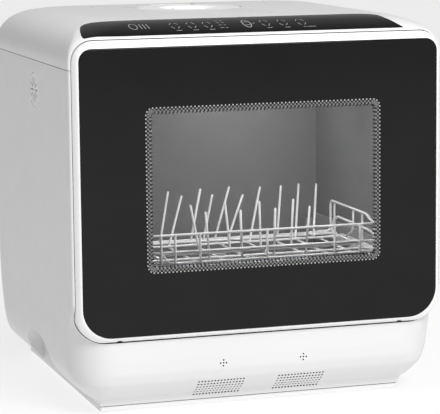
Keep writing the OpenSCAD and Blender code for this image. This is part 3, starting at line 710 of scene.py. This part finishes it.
# lip behind the side seam, so that the joint line reads as a groove
lip = tube_rings([[(p[0], p[1], z) for p in plan(0, 0, 0, 4, 20, e, nx=2, ny=2)]
                  for e, z in ((1.2, 373), (1.2, 377.5), (2.9, 377.5), (2.9, 373))], closed=True)
lip_ob = make_obj("seam_lip", *lip, M["white_shell"])
fix_normals(lip_ob)
boolean(lip_ob, [prism_y(rrect(OPEN_W, 299, 406.6, 10, 24.5, nx=2, nz=2), -3, 22.5)])
shade(lip_ob, 40)
place(lip_ob, "cabinet", slot="white_shell")


# ---------------------------------------------------------------- touch symbols
def stroke(pts, w, name="s"):
    """a flat ribbon along a line of (x, y) points"""
    left, right = [], []
    for i, p in enumerate(pts):
        a, b = pts[max(i - 1, 0)], pts[min(i + 1, len(pts) - 1)]
        d = Vector((b[0] - a[0], b[1] - a[1]))
        d = d.normalized() if d.length else Vector((1, 0))
        n = Vector((-d.y, d.x)) * w / 2
        left.append((p[0] + n.x, p[1] + n.y))
        right.append((p[0] - n.x, p[1] - n.y))
    return left, right


sym_v, sym_f = [], []


def add_stroke(pts, w=0.75):
    fine = []
    for a, b in zip(pts[:-1], pts[1:]):
        n = max(1, int(math.hypot(b[0] - a[0], b[1] - a[1]) / 1.2))
        fine += [(a[0] + (b[0] - a[0]) * i / n, a[1] + (b[1] - a[1]) * i / n) for i in range(n)]
    fine.append(pts[-1])
    left, right = stroke(fine, w)
    for lift in (0.04, -0.12):
        base = len(sym_v)
        for l, r in zip(left, right):
            sym_v.append((l[0], l[1], top_z(*l) + lift))
            sym_v.append((r[0], r[1], top_z(*r) + lift))
        if lift > 0:
            top = base
    n = len(fine)
    for i in range(n - 1):
        a, b, c, d = top + 2 * i, top + 2 * i + 1, top + 2 * i + 3, top + 2 * i + 2
        e = base - top
        sym_f.append((a, b, c, d))
        sym_f.append((a + e, d + e, c + e, b + e))
        sym_f.append((a, d, d + e, a + e))
        sym_f.append((b, b + e, c + e, c))
    for i in (0, n - 1):
        a, b = top + 2 * i, top + 2 * i + 1
        sym_f.append((a, b, b + base - top, a + base - top))


def ring_pts(cx, cy, rx, ry, a0=0, a1=360, n=20):
    return [(cx + rx * math.cos(math.radians(a0 + (a1 - a0) * i / n)), cy + ry * math.sin(math.radians(a0 + (a1 - a0) * i / n)))
            for i in range(n + 1)]


CY = 27.0
for k, x in enumerate((-86.5, -68.0, -50.0, 14.5, 34.5, 55.5)):
    for a in (20, 110, 200, 290):
        add_stroke(ring_pts(x, CY, 4.6, 9.5, a, a + 50, 5), 0.8)
    add_stroke([(x - 1.5, CY - 14.5), (x + 4.5, CY - 14.5)], 0.8)
add_stroke([(57, CY - 14.5), (68, CY - 14.5)], 0.8)
for i in range(4):
    add_stroke([(-38.5, CY + 13 - 8 * i), (-34.5, CY + 13 - 8 * i)], 0.8)
    add_stroke([(-32.5, CY + 13 - 8 * i), (-30, CY + 13 - 8 * i)], 0.8)
add_stroke(ring_pts(-6, CY, 4.4, 12), 1.1)
add_stroke([(-9, CY - 5), (-3, CY - 5)], 1.0)
add_stroke([(-9, CY + 5), (-3, CY + 5)], 1.0)
add_stroke([(0.5, CY), (3.5, CY)], 1.0)
# plain ring and bars at the left end of the strip
add_stroke(ring_pts(-132, CY, 4.2, 9), 0.9)
for i in range(3):
    add_stroke([(-124 + 4 * i, CY - 8), (-124 + 4 * i, CY + 8)], 0.9)
symbols = make_obj("strip_symbols", sym_v, sym_f, M["symbol_grey"])
fix_normals(symbols)
place(symbols, "cabinet", slot="panel_black")

# ---------------------------------------------------------------- plinth
pl = []
for z, e in ((2.0, 0.6), (2.2, 0.25), (2.6, 0.0), (6.6, 0.0), (6.75, 0.1), (6.8, 1.6)):
    pl.append([(p[0], p[1], z) for p in plan(37.4, 37.4, 4, 3, 3, e, nc=6)])
for z, e in ((7.8, 2.3), (11.6, 2.4), (12.0, 2.8), (12.0, 5.2), (5.0, 5.2)):
    pl.append([(p[0], p[1], z) for p in plan(37.4, 37.4, 4, 3, 3, e, nc=6)])
plinth = make_obj("plinth", *tube_rings(pl), M["plinth_white"])
fix_normals(plinth)
shade(plinth, 35)
place(plinth, "cabinet", "base_plinth", slot="plinth_white")

# ---------------------------------------------------------------- door
def frame_ring(w, z0, z1, rb, rt, y):
    return [(p[0], y, p[1]) for p in rrect(w, z0, z1, rb, rt)]


def mix(a, b, t):
    return a + (b - a) * t


GL = (200.5, 91.0, 397.7, 32.2, 13.7)
OUT = (206.7, 85.5, 405.6, 31.5, 24.0)
rings = [frame_ring(*GL, -4.0), frame_ring(*GL, -6.9), frame_ring(200.8, 90.7, 398.0, 32.5, 14.0, -7.25)]
for i in range(1, 13):   # soft chamfer from the glass edge out to the rim
    t = i / 12.0
    y = mix(-7.3, -0.6, t ** 1.25)
    u = t ** 0.85
    rings.append(frame_ring(mix(201.1, OUT[0], u), mix(90.4, OUT[1], u), mix(398.3, OUT[2], u), mix(32.6, OUT[3], u),
                            mix(14.3, OUT[4], u), y))
rings += [frame_ring(OUT[0], OUT[1], OUT[2], OUT[3], OUT[4], y) for y in (0.4, 5.0, 9.3)]
rings.append(frame_ring(OUT[0] - 0.6, OUT[1] + 0.6, OUT[2] - 0.6, OUT[3] - 0.6, OUT[4] - 0.6, 10.0))
rings += [frame_ring(176.6, 117.4, 372.6, 20.6, 20.6, 10.0), frame_ring(176, 118, 372, 20, 20, 9.4),
          frame_ring(176, 118, 372, 20, 20, -4.0)]
door_frame = make_obj("door_surround", *tube_rings(rings, closed=True), M["door_white"])
fix_normals(door_frame)
slots = [prism_y([(s * 156.7, 80), (s * 162.3, 80), (s * 162.3, 97.3), (s * 156.7, 97.3)], -4, 11) for s in (-1, 1)]
boolean(door_frame, slots)
shade(door_frame, 38)
place(door_frame, "door", "door_frame", slot="door_white")

# outer pane: opaque black print with a clear window, and dots along the window's edge
WX0, WX1, WZ0, WZ1, WR = -130.0, 134.5, 157.6, 334.8, 9.0
GLASS = (200.3, 91.2, 397.5, 32.0, 13.5)


def win_outline(e, nc=12, nx=24, nz=18):
    x0, x1, z0, z1 = WX0 + e, WX1 - e, WZ0 + e, WZ1 - e
    r = max(WR - e, 2.0)
    c = [arc(x1 - r, z1 - r, r, 0, 90, nc), arc(x0 + r, z1 - r, r, 90, 180, nc),
         arc(x0 + r, z0 + r, r, 180, 270, nc), arc(x1 - r, z0 + r, r, 270, 360, nc)]
    out = []
    for i, n in enumerate((nx, nz, nx, nz)):
        out += c[i] + between(c[i][-1], c[(i + 1) % 4][0], n)
    return out


def at_y(outline, y):
    return [(p[0], y, p[1]) for p in outline]


BORDER = 6.1
g = [at_y(win_outline(BORDER), -4.1), at_y(win_outline(BORDER), -7.96), at_y(win_outline(-0.9), -7.96), at_y(win_outline(-1.0), -8.0)]
for k in range(7):
    t = k / 6.0
    i = 0.9 * (1 - math.sin(t * math.pi / 2))
    g.append(frame_ring(GLASS[0] - i, GLASS[1] + i, GLASS[2] - i, GLASS[3] - i, GLASS[4] - i, -8.0 + 0.9 * (1 - math.cos(t * math.pi / 2))))
g.append(frame_ring(GLASS[0], GLASS[1], GLASS[2], GLASS[3], GLASS[4], -4.1))
pane_black = make_obj("pane_printed", *tube_rings(g, closed=True), M["glass_black"])
fix_normals(pane_black)
shade(pane_black, 30)
place(pane_black, "door", "door_glass", slot="glass_black")
g = [at_y(win_outline(BORDER + 0.02), -7.97), at_y(win_outline(BORDER + 0.02), -4.1)]
pane_win = make_obj("pane_window", *tube_rings(g), M["pane_tinted"])
fix_normals(pane_win)
place(pane_win, "door", "door_glass", slot="glass_black")



def add_dot(dots_v, dots_f, x, z, r, y, n=10, t=0.1):
    b = len(dots_v)
    for yy in (y - t / 2, y + t / 2):
        for i in range(n):
            a = 2 * math.pi * i / n
            dots_v.append((x + r * math.cos(a), yy, z + r * math.sin(a)))
    dots_f.append(tuple(b + i for i in range(n)))
    dots_f.append(tuple(b + n + i for i in reversed(range(n))))
    for i in range(n):
        j = (i + 1) % n
        dots_f.append((b + i, b + n + i, b + n + j, b + j))


def along(outline, step, phase):
    pts = outline + [outline[0]]
    seg = [math.hypot(q[0] - p[0], q[1] - p[1]) for p, q in zip(pts[:-1], pts[1:])]
    total = sum(seg)
    n = int(round(total / step / 2)) * 2
    out = []
    for k in range(n):
        d = (k + phase) / n * total
        i = 0
        while d > seg[i]:
            d -= seg[i]
            i += 1
        t = d / seg[i] if seg[i] else 0
        out.append((pts[i][0] + (pts[i + 1][0] - pts[i][0]) * t, pts[i][1] + (pts[i + 1][1] - pts[i][1]) * t))
    return out, n


PITCH = 4.2
for name, rows, y, t, mat in (("print_dots_light", ((0.9, 0.9, 0.0),), -7.975, 0.02, "frit_light"),
                              ("print_dots_mid", ((3.0, 1.2, 0.5), (5.1, 1.35, 0.0)), -7.975, 0.02, "frit_mid"),
                              ("print_dots_dark", ((7.1, 0.95, 0.5),), -3.99, 0.1, "glass_black")):
    dv, df = [], []
    for d, r, phase in rows:
        pts, n = along(win_outline(0.0), PITCH, phase)
        for p in pts:
            x = min(max(p[0], WX0 + WR), WX1 - WR)
            z = min(max(p[1], WZ0 + WR), WZ1 - WR)
            v = Vector((p[0] - x, p[1] - z))
            if v.length > 1e-6:
                v.normalize()
            add_dot(dv, df, p[0] - v.x * d, p[1] - v.y * d, r, y, t=t)
    dots = make_obj(name, dv, df, M[mat])
    fix_normals(dots)
    place(dots, "door", slot="glass_black")

# ---------------------------------------------------------------- rack wires
def wire_path(pts, r, name_parts, bend=6.0, n=10, closed=False):
    """round wire through 3-D points, its corners rounded"""
    P = [Vector(p) for p in pts]
    path = [P[0]]
    for i in range(1, len(P) - 1):
        a, b, c = P[i - 1], P[i], P[i + 1]
        u, v = (a - b), (c - b)
        k = min(bend, u.length * 0.45, v.length * 0.45)
        p0, p1 = b + u.normalized() * k, b + v.normalized() * k
        for j in range(7):
            t = j / 6.0
            path.append(p0 * (1 - t) ** 2 + b * 2 * t * (1 - t) + p1 * t * t)
    path.append(P[-1])
    rings = []
    up = None
    for i, p in enumerate(path):
        d = (path[min(i + 1, len(path) - 1)] - path[max(i - 1, 0)]).normalized()
        if up is None:
            up = d.orthogonal().normalized()
        up = (up - d * up.dot(d)).normalized()
        w = d.cross(up)
        rings.append([tuple(p + r * (math.cos(2 * math.pi * k / n) * up + math.sin(2 * math.pi * k / n) * w)) for k in range(n)])
    # rounded tips
    for end, sgn in ((0, -1), (-1, 1)):
        p = path[end]
        q = path[1] if end == 0 else path[-2]
        d = (p - q).normalized()
        c = Vector([sum(v[k] for v in rings[end]) / n for k in range(3)])
        tip = [[tuple(c + (Vector(v) - c) * s + d * r * h) for v in rings[end]] for s, h in ((0.8, 0.5), (0.35, 0.9))]
        if end == 0:
            rings = [tip[1], tip[0]] + rings
        else:
            rings = rings + tip
    name_parts.append(rings)


RT, RM = 1.5, 1.35
frame_w, floor_w, front_w, rear_w = [], [], [], []
YF, YR = 40.0, 190.0
# top hoop, level at the front and stepping up along the sides
wire_path([(0, YF, 190), (150, YF, 190), (150, 62, 190), (150, 74, 195.5), (150, YR, 195.5), (150, YR, 159.5), (110, YR, 158)], RT, frame_w)
wire_path([(0, YF, 190), (-150, YF, 190), (-150, 62, 190), (-150, 74, 195.5), (-150, YR, 195.5), (-150, YR, 159.5), (-110, YR, 158)], RT, frame_w)
wire_path([(0, YF, 171.3), (150, YF, 171.3), (150, 60, 178), (150, 168, 179.5), (146, 176, 170), (146, 176, 158.6)], RT, frame_w)
wire_path([(0, YF, 171.3), (-150, YF, 171.3), (-150, 60, 178), (-150, 168, 179.5), (-146, 176, 170), (-146, 176, 158.6)], RT, frame_w)
for s in (-1, 1):
    for y in (92, 181):
        wire_path([(s * 151.4, y, 195), (s * 151.4, y, 160), (s * 140, y, 157)], RM, frame_w, 5)
    wire_path([(s * 151.4, 120, 195), (s * 151.4, 120, 170), (s * 151.4, 148, 157)], RM, frame_w, 8)
for x in (-101.5, -85.6, -57.4, 19.5, 98, 128):
    wire_path([(x, YF - 1.6, 190), (x, YF - 1.6, 158), (x, 52, 156.8)], RM, frame_w, 4)
# floor
wire_path([(0, YF, 159.2), (-93, YF, 159.2), (-100, YF, 170)], RT, floor_w, 6)
wire_path([(0, YF, 159.2), (148, YF, 159.2), (148, YR, 158), (0, YR, 158)], RT, floor_w, 9)
wire_path([(-100, YF + 0.6, 168.4), (130, YF + 0.6, 168.4)], RM, frame_w, 6)
wire_path([(-98, YF + 1, 160), (-148, YF + 4, 160), (-148, YR, 158), (0, YR, 158)], RT, floor_w, 9)
for x in (-120, -90, -58, -26, 4, 36, 70, 96, 124):
    wire_path([(x, YF + 1, 157.0), (x, YR, 156.2)], RM, floor_w)
for y in (62, 104, 150, 172):
    wire_path([(-150, y, 159.2), (150, y, 159.2)], RM, floor_w)
# tines
for i in range(4):
    b = -45.4 + 36.8 * i
    wire_path([(b, 42, 157.5), (1.09 * b, 44, 212)], RM, front_w)
for i in range(4):
    wire_path([(-38 + 36 * i, 104, 158), (-49.5 + 40.3 * i, 100, 212)], RM, front_w)
for b, t in (((-58, 158, 158), (-34, 187, 210)), ((-9, 184, 158), (4, 190, 209)), ((17, 174, 158), (41, 190, 207)),
             ((41, 165, 158), (67, 204, 213)), ((80, 181, 158), (93, 204, 213)), ((95, 160, 158), (115, 204, 214)),
             ((117, 159, 158), (137, 204, 213)), ((-60, 188, 158), (-45, 204, 213)), ((-23, 188, 158), (-6, 204, 214)),
             ((6, 188, 158), (29, 204, 215)), ((-90, 160, 158), (-74, 188, 211)), ((-118, 160, 158), (-108, 188, 211))):
    wire_path([b, t], RM, rear_w)
for parts, nm, nodes in ((frame_w, "rack_wires", ("rack_frame",)), (floor_w, "rack_floor_wires", ("rack_floor",)),
                         (front_w, "front_tine_wires", ("front_tines",)), (rear_w, "rear_tine_wires", ("rear_tines",))):
    ob = many(parts, nm, M["wire_coated"])
    shade(ob, 50, False)
    place(ob, "rack", *nodes, slot="wire_coated")

# ---------------------------------------------------------------- finish of the carried-over nodes
for name, width in (("fill_lid", 0.4), ("left_air_vent", 0.25), ("rear_panel", 0.2), ("inlet_connector", 0.5), ("drain_spigot", 0.5),
                    ("cable_gland", 0.4), ("fill_funnel", 0.4), ("water_tank", 2.0), ("tub", 0.5), ("rack_rails", 0.5),
                    ("rack_runners", 0.5), ("door_liner", 0.8), ("detergent_cup", 0.8), ("filter_cup", 0.3),
                    ("lower_spray_arm", 1.5), ("upper_spray_arm", 1.5), ("rear_panel_screws", 0.15), ("sump", 0.6)):
    o = frame["nodes"][name]
    md = o.modifiers.new("bev", "BEVEL")
    md.width = width * 0.001
    md.segments = 2
    md.limit_method = "ANGLE"
    md.angle_limit = math.radians(40)
    md.use_clamp_overlap = True
    md.harden_normals = False

# ---------------------------------------------------------------- camera, light, floor
def build_camera():
    az, el, roll = math.radians(-17.599), math.radians(8.419), math.radians(-0.565)
    back = Vector((math.sin(az) * math.cos(el), -math.cos(az) * math.cos(el), math.sin(el)))
    pos = Vector((-44.936, 0, 225.351)) + back * 2370.929
    fwd = -back
    right = fwd.cross(Vector((0, 0, 1))).normalized()
    up = right.cross(fwd)
    R = right * math.cos(roll) + up * math.sin(roll)
    U = -right * math.sin(roll) + up * math.cos(roll)
    cam = bpy.data.cameras.new("camera")
    cam.sensor_fit = "HORIZONTAL"
    cam.sensor_width = 36.0
    cam.lens = 2220.931 * 36.0 / 440.0
    cam.shift_x = -0.00255
    cam.shift_y = -0.00275
    cam.clip_start = 0.05
    cam.clip_end = 100
    ob = bpy.data.objects.new("camera", cam)
    bpy.context.scene.collection.objects.link(ob)
    m = Matrix((R, U, back)).transposed().to_4x4()
    m.translation = Vector(to_m(pos))
    ob.matrix_world = m
    bpy.context.scene.camera = ob


build_camera()


def area(name, loc, target, size, power, size_y=None, color=(1, 1, 1)):
    l = bpy.data.lights.new(name, "AREA")
    l.shape = "RECTANGLE"
    l.size = size
    l.size_y = size_y or size
    l.energy = power
    l.color = color
    ob = bpy.data.objects.new(name, l)
    bpy.context.scene.collection.objects.link(ob)
    ob.location = loc
    d = Vector(target) - Vector(loc)
    ob.rotation_euler = d.to_track_quat("-Z", "Y").to_euler()
    return ob


world = bpy.data.worlds.new("world")
bpy.context.scene.world = world
world.use_nodes = True
world.node_tree.nodes["Background"].inputs[0].default_value = (1, 1, 1, 1)
world.node_tree.nodes["Background"].inputs[1].default_value = 0.28
area("front_soft", (0.6, -3.0, 2.5), (0.0, 0, 0.2), 1.6, 116)
area("top_soft", (0.0, -0.9, 2.6), (0, -0.1, 0.3), 1.4, 21)
area("left_fill", (-2.6, 0.3, 0.9), (0, 0, 0.2), 1.6, 0.6)
area("lamp_inside", (0.06, -0.02, 0.350), (0.09, 0.17, 0.26), 0.10, 0.26, 0.08)
area("lamp_front", (0.03, -0.176, 0.350), (0.03, -0.155, 0.17), 0.26, 2.0, 0.015)


def card(name, pts, z, shade_of_grey, glow, rough=0.6):
    ob = make_obj(name, [(p[0] / 1000, (p[1] - 195) / 1000, z) for p in pts], [tuple(range(len(pts)))], None, raw=True)
    m, nt, bsdf = new_mat(name)
    bsdf.inputs["Base Color"].default_value = (shade_of_grey, shade_of_grey, shade_of_grey, 1)
    bsdf.inputs["Roughness"].default_value = rough
    bsdf.inputs["Emission Color"].default_value = (1, 1, 1, 1)
    bsdf.inputs["Emission Strength"].default_value = glow
    ob.data.materials.append(m)


card("floor", [(-9000, -9000), (9000, -9000), (9000, 9000), (-9000, 9000)], -0.0006, 0.22, 0.74)
bpy.context.scene.view_settings.view_transform = "Standard"
bpy.context.scene.view_settings.look = "None"
